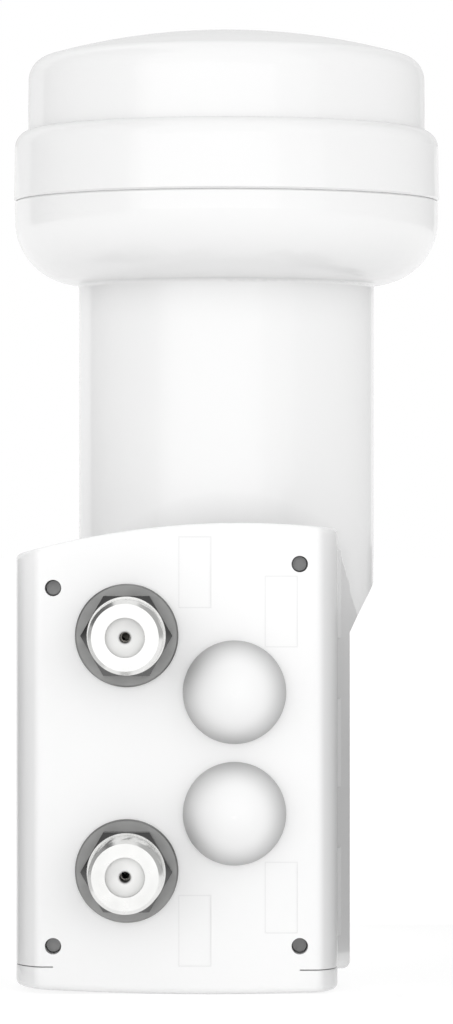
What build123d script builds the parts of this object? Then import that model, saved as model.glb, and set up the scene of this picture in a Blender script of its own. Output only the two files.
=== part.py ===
from build123d import *
import math
import os

# Satellite low-noise block: a feed head on a clamping neck, and a case with two output ports.
# Millimetres. +Z runs up the neck's axis towards the feed head, and the ports face -Y.
# The origin is on the neck's axis, at the middle of the length that a clamp grips.
# A front distance is measured from the neck's axis towards the ports' side, so it is -Y.
# A place is a pair of X and Z on the front.

# Neck: the straight length takes the clamp, and the tail under it has a slight draft
NECK_DIAMETER = 40.0
NECK_WALL = 2.0
CLAMP_LENGTH = 31.6
NECK_TAIL = 8.7
NECK_TAIL_DRAFT = 0.4
NECK_TAPER = 29.0
NECK_FILLET = 0.5
NECK_RIBS = 6
NECK_RIB_WALL = 1.4
NECK_RIB_CLEARANCE = 0.3
NECK_RIB_INSET = 3.0

# Bowl of the feed head, moulded on the neck, with a collar that the cap snaps over
BOWL_DIAMETER = 57.4
BOWL_FLOOR = 1.8
BOWL_BAND = 2.6
COLLAR_WALL = 1.8
COLLAR_HEIGHT = 6.0
HORN_SHELF_WIDTH = 2.0
HORN_SHELF_HEIGHT = 2.4

# Radome cap
CAP_WALL = 1.6
CAP_HEIGHT = 22.95
CAP_SKIRT = 7.15
CAP_SHOULDER = 1.9
CAP_SHOULDER_ROUND = 2.4
CAP_CROWN_RADIUS = 89.0
CAP_CROWN_ROUND = 3.3
CAP_DRAFT = 0.12
CAP_LIP = 0.15
CAP_CLEARANCE = 0.1
SEAM_CHAMFER = 0.25
SNAP_LEVEL = 1.8
SNAP_DEPTH = 0.4
SNAP_CLEARANCE = 0.1
HOLD_DOWN_WALL = 1.3
HOLD_DOWN_GAP = 0.1

# Feed horn with its choke rings and waveguide tube
WAVEGUIDE_DIAMETER = 18.2
TUBE_WALL = 1.9
HORN_RINGS = 3
HORN_RING_WALL = 1.3
HORN_FLANGE = 2.0
HORN_HEIGHT = 22.0
HORN_RING_STEP = 2.0
HORN_FLARE = 1.2
HORN_FLARE_HEIGHT = 4.0
HORN_CLEARANCE = 1.2

# Chassis barrel that the tube plugs into, and the chamber round it
SOCKET_DEPTH = 5.0
SOCKET_CLEARANCE = 0.1
BARREL_WALL = 2.0
BARREL_LENGTH = 31.5
BARREL_FLOOR = 3.0
BARREL_DROP = 3.0
BARREL_CLEARANCE = 0.8
BRIDGE_INSET = 2.0
CHAMBER_END_CLEARANCE = 2.0
CHAMBER_TOP_CLEARANCE = 0.6
REAR_WALL = 1.9
REAR_ROUND = 2.5

# Seals, drawn in the flattened section that they take when squeezed
SEAL_ROUND = 0.3
RADOME_SEAL_WIDTH = 1.3
RADOME_SEAL_DEPTH = 0.9
RADOME_SEAL_LEVEL = 3.2
TUBE_SEAL_WIDTH = 1.3
TUBE_SEAL_DEPTH = 0.9
TUBE_SEAL_LEVEL = 1.5
COVER_SEAL_WIDTH = 0.85
COVER_SEAL_HEIGHT = 1.2
COVER_SEAL_INSET = 0.45
COVER_SEAL_BOTTOM_INSET = 0.8
COVER_SEAL_CORNER = 0.9

# Front cover: arched top, rounded side edges, a lip under two slits, and four shallow fields
COVER_LEFT = 27.47
COVER_RIGHT = 14.5
COVER_FRONT = 30.0
COVER_DEPTH = 5.5
COVER_WALL = 1.8
COVER_TOP = 16.4
COVER_TOP_RADIUS = 105.0
COVER_TOP_APEX = 1.75
COVER_BOTTOM = 77.6
COVER_BOTTOM_RADIUS = 400.0
COVER_BOTTOM_APEX = -2.0
COVER_LEFT_ROUND = 3.6
COVER_RIGHT_ROUND = 3.0
COVER_ROUND_DRAW = 0.33
COVER_FACE_ROUND = 1.6
COVER_FACE_TURN = 45.0
COVER_EDGE = 0.9
LIP_SLOT_WALL = 1.6
SLIT_LEVELS = (74.0, 74.4)
SLIT_WIDTH = 0.14
FIELD_WIDTH = 4.16
FIELD_HEIGHT = 9.17
FIELD_DEPTH = 0.12
FIELD_CORNER = 0.3
FIELD_PLACES = ((-4.1, -22.8), (7.1, -27.9), (7.1, -65.0), (-4.1, -69.3))

# Rear case, moulded on the neck: its walls flare towards the back, and its top slopes to the neck
CASE_BACK = 14.5
CASE_WALL = 1.8
CASE_RIGHT_STEP = 0.15
CASE_BOTTOM = 74.7
CASE_SLOPE = 33.0
CASE_SIDE_FLARE = 12.4
CASE_BOTTOM_FLARE = 5.0
CASE_CORNER = 1.0
CASE_TOP_CORNER = 1.8
GUSSET_DROP = 2.1
GUSSET_STEP = 0.1
CASE_INNER_CORNER = 0.6
CASE_BACK_ROUND = 0.8
CLIP_COUNT = 3
CLIP_FIRST = 25.7
CLIP_PITCH = 19.5
CLIP_LENGTH = 11.5
CLIP_DEPTH = 1.7
CLIP_PROUD = 0.3

# Pins that hold the cover, sunk in its corners: upper left, upper right, lower left, lower right
PIN_DIAMETER = 2.1
PIN_CLEARANCE = 0.02
PIN_RECESS = 2.4
PIN_ENGAGEMENT = 4.5
PIN_END_CLEARANCE = 0.3
PIN_CHAMFER = 0.15
PIN_PLACES = ((-22.5, -24.86), (9.5, -21.75), (-22.5, -71.3), (9.5, -71.3))
BOSS_DIAMETER = 3.5
BOSS_GAP = 0.1

# Chassis plate, circuit board and shield lid, stacked towards the front on posts
POST_HEIGHT = 2.0
POST_DIAMETER = 4.8
PLATE_THICKNESS = 2.0
BOARD_THICKNESS = 1.0
BOARD_CLEARANCE = 0.35
LID_SIDE_CLEARANCE = 1.1
LID_WALL = 1.4
LID_FRONT_GAP = 2.2
PILLAR_DIAMETER = 4.8
ABSORBER_THICKNESS = 1.0
ABSORBER_WIDTH = 10.0
ABSORBER_HEIGHT = 22.0
ABSORBER_X = 2.6
CHASSIS_SCREW_PLACES = ((-20.0, -40.0), (-20.0, -57.0), (1.5, -65.6))
SCREW_DIAMETER = 2.2
SCREW_HEAD_DIAMETER = 4.0
SCREW_SINK = 0.9
SCREW_BITE = 2.6
SCREW_END_CLEARANCE = 0.2
LID_SCREW_DIAMETER = 2.0
LID_SCREW_HEAD_DIAMETER = 3.8
LID_SCREW_HEAD_HEIGHT = 1.2
LID_SCREW_SLOT = 0.6
LID_SCREW_SLOT_DEPTH = 0.5
THREAD_CLEARANCE = 0.02
HOLE_CLEARANCE = 0.1

# Probes in the waveguide, with their bushes, and the rod that keeps them apart
PROBE_DIAMETER = 1.0
PROBE_REACH = 5.0
PROBE_BEND = 1.5
PROBE_SOLDER = 0.3
PROBE_FIRST = 5.2
PROBE_SPACING = 12.0
BUSH_DIAMETER = 3.2
BUSH_CLEARANCE = 0.02
ISOLATION_ROD_DIAMETER = 1.2
ISOLATION_ROD_SEAT = 1.5

# Output ports: threaded bodies with insulator, contact, seal, washer and nut
PORT_PLACES = ((-12.93, -31.0), (-12.93, -61.5))
THREAD_DIAMETER = 9.525
THREAD_CHAMFER = 0.45
THREAD_RELIEF = 0.3
SHANK_DIAMETER = 9.1
PORT_TIP = 42.4
PORT_HOLE_CLEARANCE = 0.3
PORT_FLANGE_DIAMETER = 10.2
PORT_FLANGE = 1.4
PORT_BOSS_DIAMETER = 11.6
INSULATOR_DIAMETER = 5.07
INSULATOR_RECESS = 0.3
INSULATOR_ENTRY = 1.4
INSULATOR_ENTRY_DEPTH = 4.6
CONTACT_DIAMETER = 2.2
CONTACT_TAIL_DIAMETER = 0.8
CONTACT_TAIL_SINK = 0.8
CONTACT_SOCKET_DIAMETER = 1.0
CONTACT_SOCKET_DEPTH = 7.0
TAIL_POCKET_DIAMETER = 3.0
TAIL_POCKET_DEPTH = 0.8
PRESS_CLEARANCE = 0.02
WASHER_DIAMETER = 13.4
WASHER_THICKNESS = 1.0
WASHER_CHAMFER = 0.2
NUT_FLATS = 10.3
NUT_HEIGHT = 2.6
NUT_CHAMFER = 30.0
PORT_SEAL_WIDTH = 1.2
PORT_SEAL_HEIGHT = 0.9

# Domed plugs in the two ports that are not fitted
BLANK_PLACES = ((1.04, -38.35), (1.04, -54.1))
DOME_DIAMETER = 13.4
DOME_HEIGHT = 6.0
DOME_RIM = 0.5
PLUG_CLEARANCE = 0.1
PLUG_BARB = 0.45
PLUG_BARB_LENGTH = 0.9

# Parts on the board: width, height and thickness, and X where they line up with the probes
TRANSISTOR_SIZE = (2.0, 2.0, 0.9)
TRANSISTOR_X = (3.2, 5.6, 3.2)
MIXER_SIZE = (5.0, 5.0, 0.9)
MIXER_X = -4.6
SWITCH_SIZE = (4.0, 4.0, 0.9)
SWITCH_X = -13.0
REGULATOR_SIZE = (3.5, 6.5, 1.6)
REGULATOR_X = -20.4
CRYSTAL_SIZE = (3.2, 2.5, 0.8)
CRYSTAL_X = -5.5
CAPACITOR_SIZE = (0.9, 1.7, 0.8)
CAPACITOR_COUNT = 4
CAPACITOR_PITCH = 2.2
CAPACITOR_X = -17.0
CHIP_CORNER = 0.15

# Heights and radii that follow from the sizes above: neck, bowl and cap
neck_r = NECK_DIAMETER / 2
neck_in = neck_r - NECK_WALL
clamp_end = CLAMP_LENGTH / 2
neck_end = -clamp_end - NECK_TAIL
neck_end_r = neck_r - NECK_TAIL * math.tan(math.radians(NECK_TAIL_DRAFT))
taper = math.tan(math.radians(NECK_TAPER))
bowl_r = BOWL_DIAMETER / 2
bowl_round = bowl_r - neck_r
band_bottom = clamp_end + bowl_round
seam = band_bottom + BOWL_BAND
bowl_floor = clamp_end + BOWL_FLOOR
skirt_in = bowl_r - CAP_WALL
collar_r = skirt_in - CAP_CLEARANCE
collar_in = collar_r - COLLAR_WALL
collar_top = seam + COLLAR_HEIGHT
snap_level = seam + SNAP_LEVEL
shelf_top = bowl_floor + HORN_SHELF_HEIGHT
cap_top = seam + CAP_HEIGHT
crown_r = bowl_r - CAP_SHOULDER

# Horn, barrel and the chamber behind the case
bore_r = WAVEGUIDE_DIAMETER / 2
tube_r = bore_r + TUBE_WALL
socket_r = tube_r + SOCKET_CLEARANCE
barrel_r = socket_r + BARREL_WALL
chamber_r = barrel_r + BARREL_CLEARANCE
rear_r = chamber_r + REAR_WALL
horn_r = collar_in - HORN_CLEARANCE
horn_top = shelf_top + HORN_HEIGHT
ring_pitch = (horn_r - tube_r) / HORN_RINGS
outer_ring_top = horn_top - HORN_RINGS * HORN_RING_STEP

# Front distances of the case, the cover and what is stacked between them
cover_rim = COVER_FRONT - COVER_DEPTH
cover_inside = COVER_FRONT - COVER_WALL
case_floor = CASE_BACK + CASE_WALL
plate_back = case_floor + POST_HEIGHT
plate_front = plate_back + PLATE_THICKNESS
board_front = plate_front + BOARD_THICKNESS
lid_front = cover_inside - LID_FRONT_GAP
lid_inside = lid_front - LID_WALL
boss_front = cover_rim - BOSS_GAP
pin_front = COVER_FRONT - PIN_RECESS
pin_back = cover_rim - PIN_ENGAGEMENT
washer_front = COVER_FRONT + WASHER_THICKNESS
nut_front = washer_front + NUT_HEIGHT
flange_back = lid_inside - PORT_FLANGE
insulator_front = PORT_TIP - INSULATOR_RECESS
entry_back = insulator_front - INSULATOR_ENTRY_DEPTH

# Sides of the case, and the radii of what passes through the cover
case_left = -COVER_LEFT
case_right = COVER_RIGHT - CASE_RIGHT_STEP
case_inner_bottom = -CASE_BOTTOM + CASE_WALL
slope = math.tan(math.radians(CASE_SLOPE))
slope_wall = 1 / math.cos(math.radians(CASE_SLOPE))
flare = math.tan(math.radians(CASE_SIDE_FLARE))
boss_r = BOSS_DIAMETER / 2
pin_hole_r = PIN_DIAMETER / 2 + PIN_CLEARANCE
thread_r = THREAD_DIAMETER / 2
shank_r = SHANK_DIAMETER / 2
port_hole_r = shank_r + PORT_HOLE_CLEARANCE
seal_in = shank_r + HOLE_CLEARANCE
seal_out = seal_in + PORT_SEAL_WIDTH
dome_r = DOME_DIAMETER / 2


def cover_top_at(x):
    """Height of the cover's arched top edge at a place across it."""
    rise = math.sqrt(COVER_TOP_RADIUS**2 - (x - COVER_TOP_APEX) ** 2)
    return -COVER_TOP - COVER_TOP_RADIUS + rise


def cover_bottom_rise(x):
    """Rise of the cover's bottom edge over its lowest point at a place across it."""
    return COVER_BOTTOM_RADIUS - math.sqrt(COVER_BOTTOM_RADIUS**2 - (x - COVER_BOTTOM_APEX) ** 2)


# The plate, the board and the lid share an outline that clears the pins' bosses and the case's top
lower_pin = max(PIN_PLACES[2][1], PIN_PLACES[3][1])
boss_room = boss_r + BOARD_CLEARANCE
top_drop = CASE_WALL * slope_wall + (cover_rim - plate_back) * slope + BOARD_CLEARANCE
board_left = -COVER_LEFT + COVER_WALL + LID_SIDE_CLEARANCE
board_right = COVER_RIGHT - COVER_WALL - LID_SIDE_CLEARANCE
board_bottom = lower_pin + boss_room
notch_x = PIN_PLACES[0][0] + boss_room
board_top = min(cover_top_at(notch_x) - top_drop, PIN_PLACES[1][1] - boss_room)
notch_z = min(cover_top_at(board_left) - top_drop, PIN_PLACES[0][1] - boss_room)
pillar_r = PILLAR_DIAMETER / 2
lid_screw_places = (
    (board_left + pillar_r, notch_z - pillar_r),
    (board_right - pillar_r, board_top - pillar_r),
    (board_left + pillar_r, board_bottom + pillar_r),
    (board_right - pillar_r, board_bottom + pillar_r),
)

# Levels of the waveguide down the neck's axis
barrel_top = board_top - BARREL_DROP
barrel_end = barrel_top - BARREL_LENGTH
tube_end = barrel_top - SOCKET_DEPTH
tube_seal_bottom = barrel_top - TUBE_SEAL_LEVEL - TUBE_SEAL_WIDTH
chamber_end = barrel_end - CHAMBER_END_CLEARANCE
chamber_top = barrel_top + CHAMBER_TOP_CLEARANCE
rear_end = chamber_end - REAR_WALL
upper_probe = tube_end - PROBE_FIRST
lower_probe = upper_probe - PROBE_SPACING
middle = (upper_probe + lower_probe) / 2
taper_end = neck_end - (neck_end_r - rear_r) / taper
bridge_top = cover_top_at(rear_r) - cover_rim * slope
tail_low = bridge_top - REAR_ROUND


def front(distance):
    """Plane at a front distance, facing the ports' side."""
    return Plane.XZ.offset(distance)


def rod(place, radius, start, end):
    """Round bar that points to the front, between two front distances."""
    return extrude(front(start) * Pos(*place) * Circle(radius), end - start)


def rods(places, radius, start, end):
    """The same round bar at several places."""
    return Part() + [rod(place, radius, start, end) for place in places]


def slab(place, width, height, start, end, corner):
    """Block with rounded corners, between two front distances."""
    outline = RectangleRounded(width, height, corner)
    return extrude(front(start) * Pos(*place) * outline, end - start)


def turned(*edges):
    """Solid turned about the neck's axis from edges in radius and height."""
    return revolve(Plane.XZ * make_face(list(edges)), Axis.Z)


def tube(inner, outer, bottom, top):
    """Plain ring or tube about the neck's axis."""
    return turned(Polyline((inner, bottom), (outer, bottom), (outer, top), (inner, top), close=True))


def turned_port(place, *edges):
    """Solid turned about a port's axis from edges in radius and front distance."""
    solid = revolve(make_face(list(edges)), Axis.Y)
    return Pos(place[0], 0, place[1]) * mirror(solid, Plane.XZ)


def squeezed_ring(inner, outer, bottom, width):
    """Round seal about the neck's axis."""
    section = RectangleRounded(outer - inner, width, SEAL_ROUND)
    return revolve(Plane.XZ * Pos((inner + outer) / 2, bottom + width / 2) * section, Axis.Z)


def arched_outline(left, right, bottom, drop, corner, top_corner):
    """Outline with the cover's arched top, lowered by a drop, and a straight bottom."""
    left_top = (left, cover_top_at(left) - drop)
    right_top = (right, cover_top_at(right) - drop)
    outline = make_face(
        [
            Polyline(left_top, (left, bottom), (right, bottom), right_top),
            ThreePointArc(right_top, (COVER_TOP_APEX, -COVER_TOP - drop), left_top),
        ]
    )
    outline = fillet(outline.vertices().sort_by(Axis.Y)[:2], corner)
    tops = [outline.vertices().sort_by_distance(place)[0] for place in (left_top, right_top)]
    return fillet(tops, top_corner)


def case_outline(distance, inset, corner, top_corner):
    """The case's outline at a front distance, moved in by an inset."""
    back = cover_rim - distance
    right = case_right + back * flare - inset
    bottom = -CASE_BOTTOM - back * math.tan(math.radians(CASE_BOTTOM_FLARE)) + inset
    drop = back * slope + inset * slope_wall
    return front(distance) * arched_outline(case_left + inset, right, bottom, drop, corner, top_corner)


def case_box(start, end, inset, corner, top_corner):
    """The case's flared box between two front distances."""
    ends = [case_outline(distance, inset, corner, top_corner) for distance in (start, end)]
    return loft(ends, ruled=True)


def seal_outline(inset):
    """Line of the cover's seal on the case's rim, moved in by an inset."""
    bottom = -CASE_BOTTOM + COVER_SEAL_BOTTOM_INSET + inset
    side = COVER_SEAL_INSET + inset
    corner = COVER_SEAL_CORNER + COVER_SEAL_WIDTH - inset
    return arched_outline(-COVER_LEFT + side, COVER_RIGHT - side, bottom, side, corner, corner)


def cover_seal_ring():
    """Cord of the cover's seal, as wide as its groove in the case's rim."""
    ring = seal_outline(0) - seal_outline(COVER_SEAL_WIDTH)
    return extrude(front(cover_rim - COVER_SEAL_HEIGHT) * ring, COVER_SEAL_HEIGHT)


def snap_bead(tip, root):
    """Ring of triangular section that locks the cap on the collar."""
    height = root - tip
    return turned(
        Polyline(
            (root, snap_level - height),
            (tip, snap_level),
            (root, snap_level + height),
            close=True,
        )
    )


def head_outside():
    """Outside of the bowl, the collar, the neck, its taper and the round rear of the case."""
    profile = make_face(
        [
            Polyline(
                (0, rear_end),
                (rear_r, rear_end),
                (rear_r, taper_end),
                (neck_end_r, neck_end),
                (neck_r, -clamp_end),
                (neck_r, clamp_end),
            ),
            CenterArc((neck_r, band_bottom), bowl_round, -90, 90),
            Polyline(
                (bowl_r, band_bottom),
                (bowl_r, seam - SEAM_CHAMFER),
                (bowl_r - SEAM_CHAMFER, seam),
                (collar_r, seam),
                (collar_r, collar_top),
                (0, collar_top),
                (0, rear_end),
            ),
        ]
    )
    profile = fillet(profile.vertices().sort_by_distance((neck_r, clamp_end))[0], NECK_FILLET)
    profile = fillet(profile.vertices().sort_by_distance((rear_r, rear_end))[0], REAR_ROUND)
    return revolve(Plane.XZ * profile, Axis.Z)


def head_inside():
    """Hollow of the bowl, the neck and the chamber for the waveguide barrel."""
    inner_round = collar_in - neck_r
    inner_taper_end = neck_end - (neck_in - chamber_r) / taper
    return turned(
        Polyline(
            (0, chamber_end),
            (chamber_r, chamber_end),
            (chamber_r, inner_taper_end),
            (neck_in, neck_end),
            (neck_in, bowl_floor),
            (neck_r, bowl_floor),
        ),
        CenterArc((neck_r, bowl_floor + inner_round), inner_round, -90, 90),
        Polyline(
            (collar_in, bowl_floor + inner_round),
            (collar_in, collar_top),
            (0, collar_top),
            (0, chamber_end),
        ),
    )


def tail_sides(top):
    """The neck's two flat sides, which close in below it, as a block in front of its axis."""
    edge = [(neck_end_r, top), (neck_end_r, neck_end), (rear_r, taper_end), (rear_r, tail_low)]
    other_edge = [(-x, z) for x, z in reversed(edge)]
    return extrude(Plane.XZ * make_face(Polyline(*edge, *other_edge, close=True)), neck_end_r)


def neck_tail():
    """Front half of the neck's tail: its round front runs on down between its flat sides."""
    return tail_sides(-clamp_end) & tube(0, neck_end_r, tail_low, neck_end)


def gusset():
    """Web that carries the case's right wall back to the neck's tail, under the same slope."""
    wall = case_right - GUSSET_STEP
    front_end = CASE_BACK + CASE_BACK_ROUND
    top = cover_top_at(case_right) - GUSSET_DROP
    lines = [(distance, cover_rim - distance) for distance in (0, front_end)]
    plan = [(wall + back * flare, -distance) for distance, back in lines]
    side = [(-distance, top - back * slope) for distance, back in lines]
    plan_face = make_face(Polyline((0, 0), *plan, (0, -front_end), close=True))
    side_face = make_face(Polyline((0, tail_low), *side, (-front_end, tail_low), close=True))
    web = extrude(Plane.XY.offset(tail_low) * plan_face, -tail_low) & extrude(Plane.YZ * side_face, neck_r)
    return web & tail_sides(-clamp_end)


def rear_bridge():
    """Straight sides that join the round rear to the case's back, under its sloping top."""
    side = Polyline(
        (0, bridge_top),
        (-case_floor, bridge_top + case_floor * slope),
        (-case_floor, rear_end),
        (0, rear_end),
        close=True,
    )
    bridge = extrude(Plane.YZ * make_face(side), rear_r, both=True)
    lower_edges = bridge.edges().filter_by(Axis.Y).group_by(Axis.Z)[0]
    return fillet(lower_edges, REAR_ROUND)


def neck_ribs():
    """Ribs that stiffen the neck inside and keep the waveguide tube central."""
    reach = neck_in - tube_r - NECK_RIB_CLEARANCE
    bottom = -clamp_end + NECK_RIB_INSET
    height = bowl_floor - bottom
    rib = Pos(0, 0, bottom + height / 2) * Box(reach + NECK_WALL, NECK_RIB_WALL, height)
    centre = tube_r + NECK_RIB_CLEARANCE + (reach + NECK_WALL) / 2
    cut_back = tube(0, neck_in + NECK_WALL / 2, bottom, bowl_floor)
    ribs = Part() + [place * rib for place in PolarLocations(centre, NECK_RIBS, 360 / NECK_RIBS / 2)]
    return ribs & cut_back


def clips():
    """Catches along the case's right wall: each one ramps up from the cover's rim and drops sharply."""
    root = case_right - CASE_WALL / 2
    back = cover_rim - CLIP_DEPTH
    tip = case_right + CLIP_DEPTH * flare + CLIP_PROUD
    ramp = make_face(
        Polyline((root, -cover_rim), (case_right, -cover_rim), (tip, -back), (root, -back), close=True)
    )
    tops = [-CLIP_FIRST - index * CLIP_PITCH + CLIP_LENGTH / 2 for index in range(CLIP_COUNT)]
    return Part() + [extrude(Plane.XY.offset(top - CLIP_LENGTH) * ramp, CLIP_LENGTH) for top in tops]


def neck_housing():
    """Bowl, neck and rear case in one moulding."""
    box = case_box(CASE_BACK, cover_rim, 0, CASE_CORNER, CASE_TOP_CORNER)
    back_edges = box.faces().sort_by(Axis.Y)[-1].edges()
    outside = head_outside() + neck_tail() + rear_bridge() + gusset()
    outside += fillet(back_edges, CASE_BACK_ROUND) + clips()
    pocket = case_box(case_floor, COVER_FRONT, CASE_WALL, CASE_INNER_CORNER, CASE_INNER_CORNER)
    passage_height = chamber_top - chamber_end
    passage = Pos(0, -case_floor / 2, chamber_end + passage_height / 2) * Box(
        2 * chamber_r, case_floor, passage_height
    )
    housing = outside - head_inside() - pocket - passage
    shelf = tube(neck_r, neck_r + HORN_SHELF_WIDTH, clamp_end + BOWL_FLOOR / 2, shelf_top)
    posts = rods(CHASSIS_SCREW_PLACES, POST_DIAMETER / 2, case_floor - CASE_WALL / 2, plate_back)
    bosses = rods(PIN_PLACES, boss_r, case_floor - CASE_WALL / 2, boss_front) & box
    housing = housing + shelf + neck_ribs() + posts + bosses
    screw_end = plate_back - SCREW_BITE - SCREW_END_CLEARANCE
    screw_r = SCREW_DIAMETER / 2 + THREAD_CLEARANCE
    housing -= rods(CHASSIS_SCREW_PLACES, screw_r, screw_end, plate_back)
    housing -= rods(PIN_PLACES, pin_hole_r, pin_back - PIN_END_CLEARANCE, boss_front)
    housing -= cover_seal_ring()
    groove_bottom = seam + RADOME_SEAL_LEVEL
    groove_r = collar_r - RADOME_SEAL_DEPTH
    housing -= tube(groove_r, collar_r, groove_bottom, groove_bottom + RADOME_SEAL_WIDTH)
    return housing - snap_bead(skirt_in - SNAP_DEPTH - SNAP_CLEARANCE, skirt_in)


def crown(inset):
    """Solid under the cap's outside, or under its inside with the wall as inset."""
    level = cap_top - inset
    radius = CAP_CROWN_RADIUS - inset
    wall_r = crown_r - inset
    foot_r = wall_r + CAP_DRAFT
    shoulder = seam + CAP_SKIRT - inset
    skirt = bowl_r - inset
    turn_r = skirt - CAP_SHOULDER_ROUND
    turn = math.acos((foot_r - turn_r) / CAP_SHOULDER_ROUND)
    foot_level = shoulder + CAP_SHOULDER_ROUND * math.sin(turn)
    lip = 0 if inset else CAP_LIP
    chamfer = 0 if inset else SEAM_CHAMFER

    def dome_at(r):
        return level - radius + math.sqrt(radius**2 - r**2)

    foot = [(skirt + lip - chamfer, seam), (skirt + lip, seam + chamfer)] if chamfer else [(skirt, seam)]
    profile = make_face(
        [
            Polyline((0, level), (0, seam), *foot, (skirt, shoulder)),
            CenterArc((turn_r, shoulder), CAP_SHOULDER_ROUND, 0, math.degrees(turn)),
            Line((foot_r, foot_level), (wall_r, dome_at(wall_r))),
            ThreePointArc((wall_r, dome_at(wall_r)), (wall_r / 2, dome_at(wall_r / 2)), (0, level)),
        ]
    )
    corner = profile.vertices().sort_by_distance((wall_r, dome_at(wall_r)))[0]
    return revolve(Plane.XZ * fillet(corner, CAP_CROWN_ROUND - inset), Axis.Z)


def radome_cap():
    """Domed cap with a snap bead and a rib that holds the horn down."""
    rib = tube(horn_r - HOLD_DOWN_WALL, horn_r, outer_ring_top + HOLD_DOWN_GAP, cap_top)
    cap = crown(0) - crown(CAP_WALL) + (rib & crown(CAP_WALL / 2))
    return cap + snap_bead(skirt_in - SNAP_DEPTH, skirt_in + CAP_WALL / 2)


def radome_seal():
    """Seal in the collar's groove, squeezed by the cap."""
    return squeezed_ring(
        collar_r - RADOME_SEAL_DEPTH, skirt_in, seam + RADOME_SEAL_LEVEL, RADOME_SEAL_WIDTH
    )


def feed_horn():
    """Waveguide tube that opens into a flared mouth with choke rings round it."""
    floor = shelf_top + HORN_FLANGE
    points = [
        (bore_r, tube_end),
        (bore_r, horn_top - HORN_FLARE_HEIGHT),
        (bore_r + HORN_FLARE, horn_top),
        (tube_r, horn_top),
        (tube_r, floor),
    ]
    for ring in range(1, HORN_RINGS + 1):
        outer = tube_r + ring * ring_pitch
        top = horn_top - ring * HORN_RING_STEP
        inner = outer - HORN_RING_WALL
        points += [(inner, floor), (inner, top), (outer, top), (outer, floor)]
    points[-1] = (horn_r, shelf_top)
    points += [(tube_r, shelf_top), (tube_r, tube_end)]
    return turned(Polyline(*points, close=True))


def waveguide_seal():
    """Seal between the tube and the chassis socket."""
    return squeezed_ring(tube_r, socket_r + TUBE_SEAL_DEPTH, tube_seal_bottom, TUBE_SEAL_WIDTH)


def board_outline(inset=0.0):
    """Outline that the plate, the board and the lid share, moved in by an inset."""
    return make_face(
        Polyline(
            (board_left + inset, board_bottom + inset),
            (board_right - inset, board_bottom + inset),
            (board_right - inset, board_top - inset),
            (notch_x + inset, board_top - inset),
            (notch_x + inset, notch_z - inset),
            (board_left + inset, notch_z - inset),
            close=True,
        )
    )


def board_layer(start, end, inset=0.0):
    """Plate of the shared outline between two front distances."""
    return extrude(front(start) * board_outline(inset), end - start)


def chassis():
    """Cast plate that carries the board, with the waveguide barrel behind it."""
    bridge_width = 2 * (barrel_r - BRIDGE_INSET)
    bridge = Pos(0, -plate_back / 2, (barrel_top + barrel_end) / 2) * Box(
        bridge_width, plate_back, BARREL_LENGTH
    )
    body = board_layer(plate_back, plate_front) + tube(0, barrel_r, barrel_end, barrel_top) + bridge
    body -= tube(0, bore_r, barrel_end + BARREL_FLOOR, barrel_top)
    body -= tube(0, socket_r, tube_end, barrel_top)
    groove_top = tube_seal_bottom + TUBE_SEAL_WIDTH
    body -= tube(0, socket_r + TUBE_SEAL_DEPTH, tube_seal_bottom, groove_top)
    probes = ((0, upper_probe), (0, lower_probe))
    body -= rods(probes, BUSH_DIAMETER / 2 + BUSH_CLEARANCE, 0, plate_front)
    rod_r = ISOLATION_ROD_DIAMETER / 2 + PRESS_CLEARANCE
    body -= rod((0, middle), rod_r, -barrel_r, bore_r + ISOLATION_ROD_SEAT)
    body -= rods(CHASSIS_SCREW_PLACES, SCREW_DIAMETER / 2 + HOLE_CLEARANCE, plate_back, plate_front)
    body -= Part() + [sunk_head(place, HOLE_CLEARANCE) for place in CHASSIS_SCREW_PLACES]
    thread = LID_SCREW_DIAMETER / 2 + THREAD_CLEARANCE
    body -= rods(lid_screw_places, thread, plate_back, plate_front)
    pocket_back = plate_front - TAIL_POCKET_DEPTH
    return body - rods(PORT_PLACES, TAIL_POCKET_DIAMETER / 2, pocket_back, plate_front)


def sunk_head(place, clearance=0.0):
    """Cone of a sunk screw head, flush with the plate."""
    head_r = SCREW_HEAD_DIAMETER / 2 + clearance
    shank = SCREW_DIAMETER / 2 + clearance
    sink = plate_front - SCREW_SINK
    cone = Polyline((0, sink), (shank, sink), (head_r, plate_front), (0, plate_front), close=True)
    return turned_port(place, cone)


def chassis_screws():
    """Sunk screws from the plate into the case's posts."""
    shanks = rods(CHASSIS_SCREW_PLACES, SCREW_DIAMETER / 2, plate_back - SCREW_BITE, plate_front)
    return shanks + [sunk_head(place) for place in CHASSIS_SCREW_PLACES]


def lid_screws():
    """Slotted screws from the lid's corners into the plate."""
    head_front = lid_front + LID_SCREW_HEAD_HEIGHT
    screws = rods(lid_screw_places, LID_SCREW_DIAMETER / 2, plate_back, head_front)
    screws += rods(lid_screw_places, LID_SCREW_HEAD_DIAMETER / 2, lid_front, head_front)
    slot_back = head_front - LID_SCREW_SLOT_DEPTH
    slot = Rectangle(LID_SCREW_HEAD_DIAMETER, LID_SCREW_SLOT)
    for place in lid_screw_places:
        screws -= extrude(front(slot_back) * Pos(*place) * slot, LID_SCREW_SLOT_DEPTH)
    return screws


def isolation_rod():
    """Rod across the waveguide, between the two probes."""
    return rod((0, middle), ISOLATION_ROD_DIAMETER / 2, -barrel_r, bore_r + ISOLATION_ROD_SEAT)


def probe_straight():
    """Upper probe, straight into the waveguide from the board."""
    return rod((0, upper_probe), PROBE_DIAMETER / 2, bore_r - PROBE_REACH, board_front + PROBE_SOLDER)


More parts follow.
